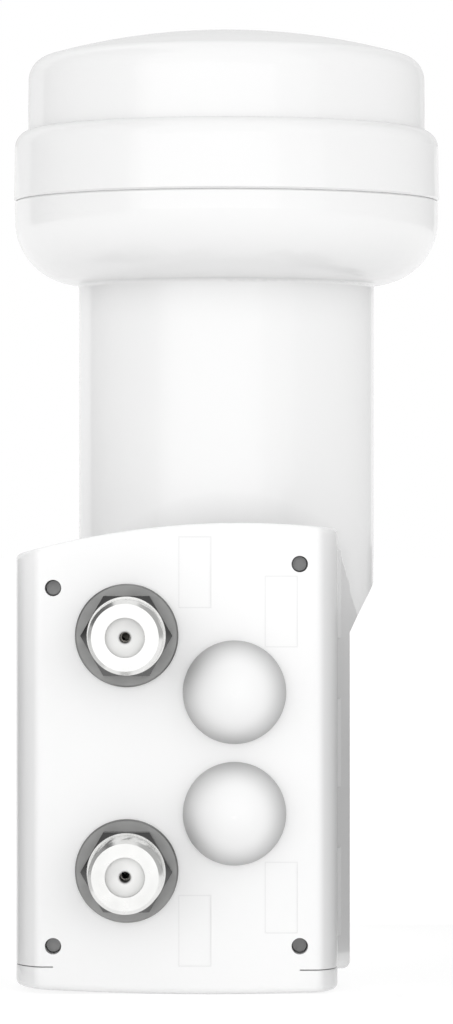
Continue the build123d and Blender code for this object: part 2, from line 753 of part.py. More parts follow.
def probe_bent():
    """Lower probe, turned across the waveguide on its axis."""
    start = (0, -board_front - PROBE_SOLDER)
    path = FilletPolyline(start, (0, 0), (-PROBE_REACH, 0), radius=PROBE_BEND)
    section = Plane(start, z_dir=(0, 1, 0)) * Circle(PROBE_DIAMETER / 2)
    return Pos(0, 0, lower_probe) * sweep(section, path)


def probe_bush(level):
    """Insulating sleeve of a probe, from the waveguide's wall to the board."""
    bush = rod((0, level), BUSH_DIAMETER / 2, bore_r, plate_front)
    return bush - rod((0, level), PROBE_DIAMETER / 2 + BUSH_CLEARANCE, bore_r, plate_front)


def circuit_board():
    """Board with holes for the probes, the contacts' tails and the lid's screws."""
    board = board_layer(plate_front, board_front)
    probe_r = PROBE_DIAMETER / 2 + HOLE_CLEARANCE
    board -= rods(((0, upper_probe), (0, lower_probe)), probe_r, plate_front, board_front)
    tail_r = CONTACT_TAIL_DIAMETER / 2 + HOLE_CLEARANCE
    board -= rods(PORT_PLACES, tail_r, plate_front, board_front)
    screw_r = LID_SCREW_DIAMETER / 2 + HOLE_CLEARANCE
    return board - rods(lid_screw_places, screw_r, plate_front, board_front)


def chips(places, size):
    """Packages of one size on the board."""
    width, height, thickness = size
    return Part() + [
        slab(place, width, height, board_front, board_front + thickness, CHIP_CORNER)
        for place in places
    ]


def board_capacitors():
    """Two rows of capacitors beside the probes' levels."""
    columns = [CAPACITOR_X + index * CAPACITOR_PITCH for index in range(CAPACITOR_COUNT)]
    places = [(x, level) for level in (upper_probe, lower_probe) for x in columns]
    return chips(places, CAPACITOR_SIZE)


def shield_lid():
    """Cast lid over the board, with corner pillars and a boss round each port."""
    lid = board_layer(board_front, lid_front) - board_layer(board_front, lid_inside, LID_WALL)
    lid += rods(lid_screw_places, pillar_r, board_front, lid_front)
    lid += rods(PORT_PLACES, PORT_BOSS_DIAMETER / 2, lid_inside, cover_inside)
    lid -= rods(PORT_PLACES, shank_r + HOLE_CLEARANCE, lid_inside, cover_inside)
    lid -= rods(PORT_PLACES, PORT_FLANGE_DIAMETER / 2 + HOLE_CLEARANCE, board_front, lid_inside)
    return lid - rods(lid_screw_places, LID_SCREW_DIAMETER / 2 + HOLE_CLEARANCE, board_front, lid_front)


def absorber_pad():
    """Microwave absorber stuck inside the lid."""
    return slab(
        (ABSORBER_X, middle),
        ABSORBER_WIDTH,
        ABSORBER_HEIGHT,
        lid_inside - ABSORBER_THICKNESS,
        lid_inside,
        CHIP_CORNER,
    )


def connector_body(place):
    """Port body: a flange inside the lid, a plain shank through the cover, then the thread."""
    bore = INSULATOR_DIAMETER / 2 + PRESS_CLEARANCE
    flange_r = PORT_FLANGE_DIAMETER / 2
    thread_back = nut_front + THREAD_RELIEF
    return turned_port(
        place,
        Polyline(
            (bore, flange_back),
            (flange_r, flange_back),
            (flange_r, lid_inside),
            (shank_r, lid_inside),
            (shank_r, thread_back),
            (thread_r, thread_back),
            (thread_r, PORT_TIP - THREAD_CHAMFER),
            (thread_r - THREAD_CHAMFER, PORT_TIP),
            (bore, PORT_TIP),
            close=True,
        ),
    )


def connector_insulator(place):
    """Insulator with a narrow entry hole in front of the contact's chamber."""
    chamber = CONTACT_DIAMETER / 2 + PRESS_CLEARANCE
    outer = INSULATOR_DIAMETER / 2
    return turned_port(
        place,
        Polyline(
            (chamber, flange_back),
            (outer, flange_back),
            (outer, insulator_front),
            (INSULATOR_ENTRY / 2, insulator_front),
            (INSULATOR_ENTRY / 2, entry_back),
            (chamber, entry_back),
            close=True,
        ),
    )


def connector_contact(place):
    """Spring socket for the cable's core, with a tail into the board."""
    tail = CONTACT_TAIL_DIAMETER / 2
    tail_end = board_front - CONTACT_TAIL_SINK
    socket = CONTACT_SOCKET_DIAMETER / 2
    socket_end = entry_back - CONTACT_SOCKET_DEPTH
    return turned_port(
        place,
        Polyline(
            (0, tail_end),
            (tail, tail_end),
            (tail, flange_back),
            (CONTACT_DIAMETER / 2, flange_back),
            (CONTACT_DIAMETER / 2, entry_back),
            (socket, entry_back),
            (socket, socket_end),
            (0, socket_end),
            close=True,
        ),
    )


def connector_seal(place):
    """Flat seal in the cover's counterbore, under the washer."""
    back = COVER_FRONT - PORT_SEAL_HEIGHT
    return rod(place, seal_out, back, COVER_FRONT) - rod(place, seal_in, back, COVER_FRONT)


def connector_washer(place):
    """Washer on the cover's face."""
    outer = WASHER_DIAMETER / 2
    inner = shank_r + HOLE_CLEARANCE
    return turned_port(
        place,
        Polyline(
            (inner, COVER_FRONT),
            (outer, COVER_FRONT),
            (outer, washer_front - WASHER_CHAMFER),
            (outer - WASHER_CHAMFER, washer_front),
            (inner, washer_front),
            close=True,
        ),
    )


def connector_nut(place):
    """Hex nut with a chamfered front, its flats above and below."""
    hexagon = RegularPolygon(NUT_FLATS / 2, 6, major_radius=False)
    blank = extrude(front(washer_front) * Pos(*place) * hexagon, NUT_HEIGHT)
    reach = NUT_FLATS
    fall = (reach - NUT_FLATS / 2) * math.tan(math.radians(NUT_CHAMFER))
    bell = turned_port(
        place,
        Polyline(
            (shank_r + HOLE_CLEARANCE, washer_front - fall),
            (reach, washer_front - fall),
            (reach, nut_front - fall),
            (NUT_FLATS / 2, nut_front),
            (shank_r + HOLE_CLEARANCE, nut_front),
            close=True,
        ),
    )
    return blank & bell


def blanking_plug(place):
    """Domed plug with a barbed stem that snaps into a port hole of the cover."""
    stem = port_hole_r - PLUG_CLEARANCE
    catch = cover_inside - PLUG_CLEARANCE
    tip = catch - PLUG_BARB_LENGTH
    rim = COVER_FRONT + DOME_RIM
    top = COVER_FRONT + DOME_HEIGHT
    sphere_r = (dome_r**2 + (top - rim) ** 2) / (2 * (top - rim))
    half_r = dome_r / 2
    half_level = top - sphere_r + math.sqrt(sphere_r**2 - half_r**2)
    return turned_port(
        place,
        Polyline(
            (0, top),
            (0, tip),
            (stem - PLUG_BARB, tip),
            (stem + PLUG_BARB, catch),
            (stem, catch),
            (stem, COVER_FRONT),
            (dome_r, COVER_FRONT),
            (dome_r, rim),
        ),
        ThreePointArc((dome_r, rim), (half_r, half_level), (0, top)),
    )


def cover_section(inset):
    """Level section of the cover: a flat face, and at each end a tight turn that runs out in a slow one."""
    draw = inset * COVER_ROUND_DRAW
    rounds = (COVER_LEFT_ROUND - draw, COVER_RIGHT_ROUND - draw)
    rims = ((-COVER_LEFT + inset, -cover_rim), (COVER_RIGHT - inset, -cover_rim))
    face = -COVER_FRONT + inset
    ends = ((rims[0][0] + rounds[0], face), (rims[1][0] - rounds[1], face))
    edges = [Line(*ends), Line(*rims)]
    for end, rim, way in zip(ends, rims, (-1, 1)):
        tight = JernArc(end, (way, 0), COVER_FACE_ROUND, way * COVER_FACE_TURN)
        edges += [tight, TangentArc(tight @ 1, rim, tangent=tight % 1)]
    return make_face(edges)


def cover_form(inset, bottom):
    """The cover's rounded form, moved in by an inset, down to a bottom edge."""
    margin = COVER_LEFT_ROUND
    left = -COVER_LEFT - margin
    right = COVER_RIGHT + margin
    left_top = (left, cover_top_at(left) - inset)
    right_top = (right, cover_top_at(right) - inset)
    left_low = (left, bottom + cover_bottom_rise(left))
    right_low = (right, bottom + cover_bottom_rise(right))
    outline = make_face(
        [
            Line(left_top, left_low),
            ThreePointArc(left_low, (COVER_BOTTOM_APEX, bottom), right_low),
            Line(right_low, right_top),
            ThreePointArc(right_top, (COVER_TOP_APEX, -COVER_TOP - inset), left_top),
        ]
    )
    band = extrude(front(cover_rim) * outline, COVER_DEPTH)
    return extrude(Plane.XY.offset(-COVER_BOTTOM) * cover_section(inset), COVER_BOTTOM) & band


def cover_slits():
    """Narrow cuts in from both sides that free the cover's lower lip."""
    left_end, right_end = PIN_PLACES[2][0], PIN_PLACES[3][0]
    left = -COVER_LEFT - COVER_LEFT_ROUND
    right = COVER_RIGHT + COVER_RIGHT_ROUND
    cuts = Part()
    for start, end, level in zip((left, right_end), (left_end, right), SLIT_LEVELS):
        cut = Rectangle(end - start, SLIT_WIDTH)
        cuts += extrude(front(cover_rim) * Pos((start + end) / 2, -level) * cut, COVER_DEPTH)
    return cuts


def front_cover():
    """Cover with four port holes, pin holes, a slotted lip and shallow fields."""
    form = cover_form(0, -COVER_BOTTOM)
    rim = form.faces().sort_by(Axis.Y)[-1]
    levels = form.faces().sort_by(Axis.Z)
    ends = levels[0].edges() + levels[-1].edges() - rim.edges()
    form = fillet(ends, COVER_EDGE)
    cover = form - cover_form(COVER_WALL, case_inner_bottom)
    lip_bottom = -COVER_BOTTOM + LIP_SLOT_WALL
    slot_height = -CASE_BOTTOM - lip_bottom
    slot_width = COVER_LEFT + COVER_RIGHT - 2 * (COVER_LEFT_ROUND + COVER_WALL)
    slot_x = (COVER_RIGHT - COVER_LEFT) / 2
    slot = Rectangle(slot_width, slot_height)
    slot_place = Pos(slot_x, lip_bottom + slot_height / 2)
    cover -= extrude(front(cover_rim) * slot_place * slot, cover_inside - cover_rim)
    cover += rods(PIN_PLACES, boss_r, cover_rim, cover_inside + COVER_WALL / 2) & form
    cover -= rods(PIN_PLACES, pin_hole_r, cover_rim, COVER_FRONT)
    cover -= rods(PORT_PLACES + BLANK_PLACES, port_hole_r, cover_inside, COVER_FRONT)
    cover -= rods(PORT_PLACES, seal_out + HOLE_CLEARANCE, COVER_FRONT - PORT_SEAL_HEIGHT, COVER_FRONT)
    for place in FIELD_PLACES:
        field_back = COVER_FRONT - FIELD_DEPTH
        cover -= slab(place, FIELD_WIDTH, FIELD_HEIGHT, field_back, COVER_FRONT, FIELD_CORNER)
    return cover - cover_slits()


def cover_pins():
    """Drive pins, each with a small chamfer at its sunk end."""
    radius = PIN_DIAMETER / 2
    profile = Polyline(
        (0, pin_back),
        (radius, pin_back),
        (radius, pin_front - PIN_CHAMFER),
        (radius - PIN_CHAMFER, pin_front),
        (0, pin_front),
        close=True,
    )
    return Part() + [turned_port(place, profile) for place in PIN_PLACES]


# Every piece by its name
pieces = {
    "neck_housing": neck_housing(),
    "radome_cap": radome_cap(),
    "radome_seal": radome_seal(),
    "feed_horn": feed_horn(),
    "waveguide_seal": waveguide_seal(),
    "chassis": chassis(),
    "chassis_screws": chassis_screws(),
    "isolation_rod": isolation_rod(),
    "probe_straight": probe_straight(),
    "probe_bent": probe_bent(),
    "probe_bush_1": probe_bush(upper_probe),
    "probe_bush_2": probe_bush(lower_probe),
    "circuit_board": circuit_board(),
    "amplifier_transistors": chips(
        list(zip(TRANSISTOR_X, (upper_probe, middle, lower_probe))), TRANSISTOR_SIZE
    ),
    "mixer_chip": chips([(MIXER_X, middle)], MIXER_SIZE),
    "switch_chip": chips([(SWITCH_X, middle)], SWITCH_SIZE),
    "voltage_regulator": chips([(REGULATOR_X, middle)], REGULATOR_SIZE),
    "reference_crystal": chips([(CRYSTAL_X, lower_probe)], CRYSTAL_SIZE),
    "board_capacitors": board_capacitors(),
    "shield_lid": shield_lid(),
    "lid_screws": lid_screws(),
    "absorber_pad": absorber_pad(),
    "front_cover": front_cover(),
    "cover_seal": cover_seal_ring(),
    "cover_pins": cover_pins(),
}
for number, place in enumerate(PORT_PLACES, 1):
    pieces[f"connector_body_{number}"] = connector_body(place)
    pieces[f"connector_insulator_{number}"] = connector_insulator(place)
    pieces[f"connector_contact_{number}"] = connector_contact(place)
    pieces[f"connector_seal_{number}"] = connector_seal(place)
    pieces[f"connector_washer_{number}"] = connector_washer(place)
    pieces[f"connector_nut_{number}"] = connector_nut(place)
for number, place in enumerate(BLANK_PLACES, 1):
    pieces[f"blanking_plug_{number}"] = blanking_plug(place)

os.makedirs("parts", exist_ok=True)
for name, piece in pieces.items():
    export_step(piece, f"parts/{name}.step")
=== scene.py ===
"""Finishes, thread detail and a white studio for a satellite LNB.

Metres, in the frame of the solids: +Z up the neck, and the ports face -Y.
"""

import math

import bmesh
import bpy
from bpy.props import FloatProperty, FloatVectorProperty, IntProperty, PointerProperty
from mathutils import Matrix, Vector


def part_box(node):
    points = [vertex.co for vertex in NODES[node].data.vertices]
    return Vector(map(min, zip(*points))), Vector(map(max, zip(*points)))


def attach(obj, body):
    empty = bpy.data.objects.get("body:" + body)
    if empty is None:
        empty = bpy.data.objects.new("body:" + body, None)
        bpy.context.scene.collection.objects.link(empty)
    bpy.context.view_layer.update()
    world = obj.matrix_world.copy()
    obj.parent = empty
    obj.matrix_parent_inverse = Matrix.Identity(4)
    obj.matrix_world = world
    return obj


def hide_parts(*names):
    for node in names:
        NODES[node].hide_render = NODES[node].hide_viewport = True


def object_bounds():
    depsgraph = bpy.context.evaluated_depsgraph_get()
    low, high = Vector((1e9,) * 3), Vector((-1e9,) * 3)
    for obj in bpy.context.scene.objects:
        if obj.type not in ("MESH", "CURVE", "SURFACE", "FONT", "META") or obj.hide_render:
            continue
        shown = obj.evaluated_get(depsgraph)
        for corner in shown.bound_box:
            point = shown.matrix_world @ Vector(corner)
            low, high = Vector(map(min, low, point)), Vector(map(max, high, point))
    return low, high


bl_info = {
    "name": "Satellite LNB",
    "version": (1, 0, 0),
    "blender": (4, 5, 0),
    "location": "View3D > Sidebar > LNB",
    "description": "Finishes, thread detail and studio of a satellite LNB",
    "category": "Object",
}

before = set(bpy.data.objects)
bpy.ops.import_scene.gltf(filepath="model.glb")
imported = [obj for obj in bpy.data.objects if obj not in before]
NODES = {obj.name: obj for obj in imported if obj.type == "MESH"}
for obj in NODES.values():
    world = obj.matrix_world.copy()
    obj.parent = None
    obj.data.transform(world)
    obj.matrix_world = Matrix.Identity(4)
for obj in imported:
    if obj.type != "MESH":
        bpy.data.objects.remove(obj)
CAD_BOX = [list(corner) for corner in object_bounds()]
MM = 0.001
SHARP_EDGE = math.radians(35)

# Plain finishes: colour, roughness, metallic, depth of the grain in millimetres and its scale
FINISHES = {
    "pin_steel": ((0.24, 0.24, 0.24), 0.45, 1.0, 0.004, 1500),
    "seal_rubber": ((0.03, 0.03, 0.03), 0.7, 0.0, 0.01, 1500),
    "absorber_sheet": ((0.09, 0.09, 0.1), 0.85, 0.0, 0.03, 700),
    "cast_metal": ((0.62, 0.63, 0.64), 0.42, 1.0, 0.02, 1100),
    "probe_gilt": ((0.82, 0.62, 0.3), 0.22, 1.0, 0.002, 1500),
    "contact_bronze": ((0.6, 0.57, 0.52), 0.5, 1.0, 0.003, 1500),
    "bush_pale": ((0.82, 0.82, 0.8), 0.4, 0.0, 0.003, 1500),
    "rod_drawn": ((0.7, 0.7, 0.71), 0.3, 1.0, 0.004, 1500),
    "screw_steel": ((0.5, 0.5, 0.51), 0.32, 1.0, 0.004, 1500),
    "chip_moulding": ((0.03, 0.03, 0.035), 0.5, 0.0, 0.006, 1500),
    "crystal_can": ((0.6, 0.6, 0.6), 0.25, 1.0, 0.003, 1500),
    "capacitor_body": ((0.45, 0.33, 0.2), 0.5, 0.0, 0.004, 1500),
}


# Property helpers
def color(name, description, default):
    """A colour that a user would change."""
    return FloatVectorProperty(
        name=name, description=description, subtype="COLOR", size=3, min=0, max=1, default=default
    )


def length(name, description, millimetres):
    """A length, given in millimetres."""
    return FloatProperty(
        name=name, description=description, default=millimetres * MM, unit="LENGTH", precision=5
    )


def factor(name, description, default):
    """A share between nothing and all."""
    return FloatProperty(
        name=name, description=description, default=default, min=0, max=1, subtype="FACTOR"
    )


def number(name, description, default):
    """A plain number."""
    return FloatProperty(name=name, description=description, default=default)


class LNB_PG_mouldings(bpy.types.PropertyGroup):
    """White mouldings: housing, cap, cover and plugs."""

    shell: color("Shell", "Colour of the housing and the cap", (0.9, 0.9, 0.9))
    # Painted light: the cover is a paler white than the shell, to make up for the shade that the
    # ports and plugs cast on it
    cover: color("Cover", "Colour of the cover with the ports", (0.97, 0.97, 0.97))
    plug: color("Plug", "Colour of the domed plugs", (0.92, 0.92, 0.92))
    # Painted shade: the plugs' base colour darkens towards their rims
    plug_rim_shade: color("Plug rim", "Colour that the plugs take towards their rims", (0.46, 0.46, 0.46))
    shell_roughness: factor("Shell roughness", "Roughness of the shell under its gloss", 0.35)
    plug_roughness: factor("Plug roughness", "Roughness of the plugs", 0.42)
    grain: length("Grain", "Depth of the moulded grain", 0.004)
    # Painted shade: inner corners of the housing and the cap turn darker in the base colour
    corner_shade_reach: length("Corner reach", "Distance over which inner corners turn darker", 6)
    corner_shade_tone: factor("Corner tone", "Share by which inner corners turn darker", 0.25)
    # Painted shade: darker lines round the cover's fields stand in for the shading of their edges
    field_line: length("Field line", "Reach of the lines round the cover's fields", 0.12)
    field_shade_tone: factor("Field tone", "Share by which those lines turn darker", 0.1)


class LNB_PG_ports(bpy.types.PropertyGroup):
    """Threaded ports with washers, nuts and insulators."""

    plating: color("Plating", "Colour of the port bodies", (0.8, 0.8, 0.79))
    nut: color("Nut", "Colour of the nuts' turned faces", (0.78, 0.78, 0.77))
    # Painted shade and reflection: the nuts' corners are dark at the top and lighter at the bottom,
    # as light falls on them
    nut_corner_shade: color("Nut corners", "Colour of the nuts' black upper corners", (0.07, 0.07, 0.07))
    nut_lower_lit: color("Lower corners", "Colour of the nuts' worn lower corners", (0.14, 0.14, 0.14))
    nut_face: length("Nut face", "Radius of a nut's turned face", 5.06)
    washer: color("Washer", "Colour of the washers", (0.3, 0.3, 0.297))
    insulator: color("Insulator", "Colour of the insulators", (0.76, 0.76, 0.75))
    # Painted shade: the insulators turn darker round their core holes
    hole_shade_tone: factor("Hole tone", "Share by which insulators turn darker at the core hole", 0.8)
    pitch: length("Pitch", "Pitch of the 32 to the inch thread", 25.4 / 32)
    thread_depth: length("Thread depth", "Depth of the thread", 0.45)
    thread_back: length("Thread start", "Front distance where the thread starts", 33.9)
    chamfer: length("Tip chamfer", "Chamfer at the thread's tip", 0.45)
    crown: length("Crown", "Height of the insulator's crowned face", 0.25)
    segments: IntProperty(name="Segments", description="Facets round a port", default=96, min=24)


class LNB_PG_studio(bpy.types.PropertyGroup):
    """Camera, lamps and backdrop."""

    distance: length("Distance", "Camera distance from the neck's axis", 675)
    height: length("Height", "Camera height over the origin", -15)
    lens: number("Lens", "Focal length in millimetres", 174.9)
    ambient: number("Ambient", "Level of the light from all round", 1.32)
    zenith: factor("Zenith", "Share of that light that comes from straight above", 0.6)
    rear: factor("Rear", "Share of that light that comes from straight behind", 0.4)
    softbox: number("Softbox", "Power of the front softbox in watts", 2.9)
    wall_left: factor("Left wall", "Level of the left wall in reflections", 0.15)
    wall_right: factor("Right wall", "Level of the right wall in reflections", 0.5)
    wall_back: factor("Back wall", "Level of the back wall in reflections", 1.0)
    wall_top: factor("Top wall", "Level of the upper back wall in reflections", 0.75)
    flag: factor("Flag", "Level of the low dark flags beside the case", 0.3)
    port_left: factor("Port card", "Level of the card that the ports reflect on their left", 0.65)
    floor_shadow: factor("Floor shadow", "Share of the floor's own shading that shows", 0.25)
    floor_glow: number("Floor glow", "Level that keeps the floor white", 1.15)


# Materials
class Surface:
    """A node material that is built up from its textures."""

    def __init__(self, name):
        self.material = bpy.data.materials.new(name)
        self.material.use_nodes = True
        self.tree = self.material.node_tree
        self.shader = self.tree.nodes["Principled BSDF"]
        self.place = self.node("ShaderNodeTexCoord").outputs["Object"]

    def node(self, kind, **values):
        """A new node with its plain attributes set."""
        made = self.tree.nodes.new(kind)
        for key, value in values.items():
            setattr(made, key, value)
        return made

    def link(self, source, target):
        self.tree.links.new(source, target)

    def plain(self, **sockets):
        """Values that are the same all over."""
        for key, value in sockets.items():
            self.shader.inputs[key.replace("_", " ")].default_value = value
        return self

    def noise(self, scale, detail=2.0, place=None):
        made = self.node("ShaderNodeTexNoise")
        made.inputs["Scale"].default_value = scale
        made.inputs["Detail"].default_value = detail
        self.link(place or self.place, made.inputs["Vector"])
        return made.outputs["Fac"]

    def spread(self, source, low, high, start=0.3, end=0.7):
        """A texture spread over a range of values."""
        made = self.node("ShaderNodeMapRange")
        made.inputs["From Min"].default_value = start
        made.inputs["From Max"].default_value = end
        made.inputs["To Min"].default_value = low
        made.inputs["To Max"].default_value = high
        self.link(source, made.inputs["Value"])
        return made.outputs["Result"]

    def mix(self, share, first, second):
        """Two colours, mixed by a texture."""
        made = self.node("ShaderNodeMix", data_type="RGBA")
        for socket, value in zip((made.inputs[6], made.inputs[7]), (first, second)):
            if isinstance(value, bpy.types.NodeSocket):
                self.link(value, socket)
            else:
                socket.default_value = (*value, 1)
        self.link(share, made.inputs["Factor"])
        return made.outputs[2]

    def dim(self, where, share):
        """Base colour that turns darker by a share where a texture is full."""
        base = self.shader.inputs["Base Color"]
        made = self.node("ShaderNodeMix", data_type="RGBA", blend_type="MULTIPLY")
        self.link(where, made.inputs["Factor"])
        self.link(base.links[0].from_socket, made.inputs[6])
        made.inputs[7].default_value = (1 - share, 1 - share, 1 - share, 1)
        self.link(made.outputs[2], base)
        return self

    def corners(self, reach):
        """How deep a spot lies in an inner corner: the mask of the painted shade there."""
        near = self.node("ShaderNodeAmbientOcclusion", samples=8)
        near.inputs["Distance"].default_value = reach
        return self.spread(near.outputs["AO"], 1, 0, 0, 1)

    def field_shade_lines(self, places, size, width):
        """Painted shade: darker lines along the edges of upright fields on the front."""
        nearest = None
        for place in places:
            away = self.vector("ABSOLUTE", self.vector("SUBTRACT", self.place, place))
            parts = self.parts(self.vector("SUBTRACT", away, size))
            gap = self.combine("ABSOLUTE", self.combine("MAXIMUM", parts["X"], parts["Z"]))
            nearest = self.combine("MINIMUM", nearest, gap) if nearest else gap
        return self.spread(nearest, 1, 0, 0, width)

    def combine(self, operation, *sources):
        """A sum of one or two textures."""
        made = self.node("ShaderNodeMath", operation=operation)
        for source, socket in zip(sources, made.inputs):
            self.link(source, socket)
        return made.outputs["Value"]

    def vector(self, operation, source, value=None):
        """A sum of a vector with a fixed value."""
        made = self.node("ShaderNodeVectorMath", operation=operation)
        self.link(source, made.inputs[0])
        if value is not None:
            made.inputs[1].default_value = value
        return made.outputs["Value" if operation == "LENGTH" else "Vector"]

    def parts(self, source):
        """The three numbers of a vector."""
        made = self.node("ShaderNodeSeparateXYZ")
        self.link(source, made.inputs["Vector"])
        return made.outputs

    def tint(self, scale, low, high):
        """Base colour that drifts between two close colours."""
        drift = self.spread(self.noise(scale), 0, 1)
        self.link(self.mix(drift, low, high), self.shader.inputs["Base Color"])
        return self

    def rough(self, scale, low, high):
        """Roughness that drifts over the surface."""
        self.link(self.spread(self.noise(scale, 4), low, high), self.shader.inputs["Roughness"])
        return self

    def bump(self, height, depth, strength=1.0):
        """Relief of a real depth in metres."""
        made = self.node("ShaderNodeBump")
        made.inputs["Strength"].default_value = strength
        made.inputs["Distance"].default_value = depth
        self.link(height, made.inputs["Height"])
        self.link(made.outputs["Normal"], self.shader.inputs["Normal"])
        return self

    def reach(self, centre):
        """Distance from an axis that points to the front."""
        away = self.vector("SUBTRACT", self.place, centre)
        return self.vector("LENGTH", self.vector("MULTIPLY", away, (1, 0, 1)))

    def height(self, centre):
        """Height over a centre."""
        return self.parts(self.vector("SUBTRACT", self.place, centre))["Z"]

    def rings(self, centre, scale):
        """Fine turning marks round an axis that points to the front."""
        marks = self.node("ShaderNodeTexNoise", noise_dimensions="1D")
        marks.inputs["Scale"].default_value = scale
        marks.inputs["Detail"].default_value = 3
        self.link(self.reach(centre), marks.inputs["W"])
        return marks.outputs["Fac"]


def shade(tone, share):
    """A colour made darker or lighter by a share."""
    return tuple(min(1.0, channel * share) for channel in tone)


def moulded(name, tone, roughness, grain):
    """Moulded plastic with a fine grain."""
    surface = Surface(name).tint(scale=22, low=shade(tone, 0.985), high=tone)
    surface.rough(scale=140, low=roughness - 0.04, high=roughness + 0.04)
    return surface.bump(surface.noise(scale=2600, detail=3), depth=grain, strength=0.35)


def drab(name, tone, roughness, metallic, grain, scale):
    """Plain part with a drifting tone and a fine grain."""
    surface = Surface(name).tint(scale=180, low=shade(tone, 0.85), high=shade(tone, 1.12))
    surface.rough(scale=400, low=roughness - 0.07, high=roughness + 0.07)
    surface.plain(Metallic=metallic)
    return surface.bump(surface.noise(scale, detail=4), depth=grain * MM, strength=0.6)


def turned_metal(name, tone, roughness, centre):
    """Plated metal with turning marks round a port's axis."""
    surface = Surface(name).tint(scale=260, low=shade(tone, 0.94), high=shade(tone, 1.04))
    surface.rough(scale=700, low=roughness - 0.04, high=roughness + 0.05)
    surface.plain(Metallic=1.0)
    return surface.bump(surface.rings(centre, scale=9000), depth=0.003 * MM, strength=0.5)


def paint(surface, *nodes):
    """Gives nodes of the solids a finish."""
    for node in nodes:
        NODES[node].data.materials.clear()
        NODES[node].data.materials.append(surface.material)


def paint_plain(finish, *nodes):
    """Gives nodes of the solids a plain finish."""
    paint(drab(finish, *FINISHES[finish]), *nodes)


# Meshes
def turned_mesh(name, rings, segments, centre):
    """Closed solid turned about an axis to the front, from a loop of (distance, radius) rings.

    A ring's radius is a number, or a function of the angle.
    """
    mesh = bmesh.new()
    loops = []
    for distance, radius in rings:
        loop = []
        for step in range(segments):
            angle = 2 * math.pi * step / segments
            reach = radius(angle) if callable(radius) else radius
            across, up = reach * math.cos(angle), reach * math.sin(angle)
            loop.append(mesh.verts.new((centre.x + across, -distance, centre.z + up)))
        loops.append(loop)
    for first, second in zip(loops, loops[1:] + loops[:1]):
        for step in range(segments):
            after = (step + 1) % segments
            mesh.faces.new((first[step], first[after], second[after], second[step]))
    bmesh.ops.recalc_face_normals(mesh, faces=mesh.faces)
    data = bpy.data.meshes.new(name)
    mesh.to_mesh(data)
    mesh.free()
    data.shade_smooth()
    data.set_sharp_from_angle(angle=SHARP_EDGE)
    piece = bpy.data.objects.new(name, data)
    bpy.context.scene.collection.objects.link(piece)
    return piece


def stand_in(piece, node, surface):
    """Seats a piece in place of a node of the solids."""
    piece.data.materials.append(surface.material)
    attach(piece, "root")
    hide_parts(node)


def port_axis(node):
    """Middle of a port's node and its front distances."""
    low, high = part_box(node)
    return (low + high) / 2, -high.y, -low.y


class LNB_OT_mouldings(bpy.types.Operator):
    """Finish the housing, the cap and the cover in glossy white, with painted shade in inner
    corners and round the cover's fields
    """

    bl_idname = "lnb.mouldings"
    bl_label = "Mouldings"
    # Middles of the cover's fields, and their width and height, in millimetres
    fields = ((-4.1, -22.8), (7.1, -27.9), (7.1, -65.0), (-4.1, -69.3))
    field_size = (4.16, 9.17)
    coat, coat_roughness = 0.6, 0.06

    def execute(self, context):
        chosen = context.scene.lnb_mouldings
        shell = self.glossy("glossy_white", chosen, chosen.shell)
        # Painted shade in the inner corners of the housing and the cap
        shell.dim(shell.corners(chosen.corner_shade_reach), chosen.corner_shade_tone)
        paint(shell, "radome_cap", "neck_housing")
        # Painted light: the cover's paler white makes up for the shade of the ports and plugs
        cover = self.glossy("glossy_white_cover", chosen, chosen.cover)
        places = [(x * MM, 0, z * MM) for x, z in self.fields]
        width, height = self.field_size
        # Painted shade along the edges of the cover's fields
        lines = cover.field_shade_lines(places, (width / 2 * MM, 0, height / 2 * MM), chosen.field_line)
        cover.dim(lines, chosen.field_shade_tone)
        paint(cover, "front_cover")
        return {"FINISHED"}

    def glossy(self, name, chosen, tone):
        """Moulded plastic under a thin clear gloss."""
        surface = moulded(name, tuple(tone), chosen.shell_roughness, chosen.grain)
        return surface.plain(Coat_Weight=self.coat, Coat_Roughness=self.coat_roughness)


class LNB_OT_plugs(bpy.types.Operator):
    """Finish the domed plugs in satin white, with painted shade towards their rims"""

    bl_idname = "lnb.plugs"
    bl_label = "Plugs"
    # Share of the radius where the painted rim shade starts, and how sharply it grows
    rim_start, rim_power = 0.5, 2.2

    def execute(self, context):
        chosen = context.scene.lnb_mouldings
        for number in (1, 2):
            plug = f"blanking_plug_{number}"
            low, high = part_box(plug)
            name, tone = f"satin_white_{number}", tuple(chosen.plug)
            surface = moulded(name, tone, chosen.plug_roughness, chosen.grain)
            self.rim(surface, (low + high) / 2, (high.x - low.x) / 2, chosen)
            paint(surface, plug)
        return {"FINISHED"}

    def rim(self, surface, centre, radius, chosen):
        """Painted shade: base colour that turns darker towards the dome's rim."""
        rim_shade_share = surface.spread(surface.reach(centre), 0, 1, self.rim_start * radius, radius)
        fall = surface.node("ShaderNodeMath", operation="POWER")
        surface.link(rim_shade_share, fall.inputs[0])
        fall.inputs[1].default_value = self.rim_power
        tone = surface.mix(fall.outputs["Value"], tuple(chosen.plug), tuple(chosen.plug_rim_shade))
        surface.link(tone, surface.shader.inputs["Base Color"])


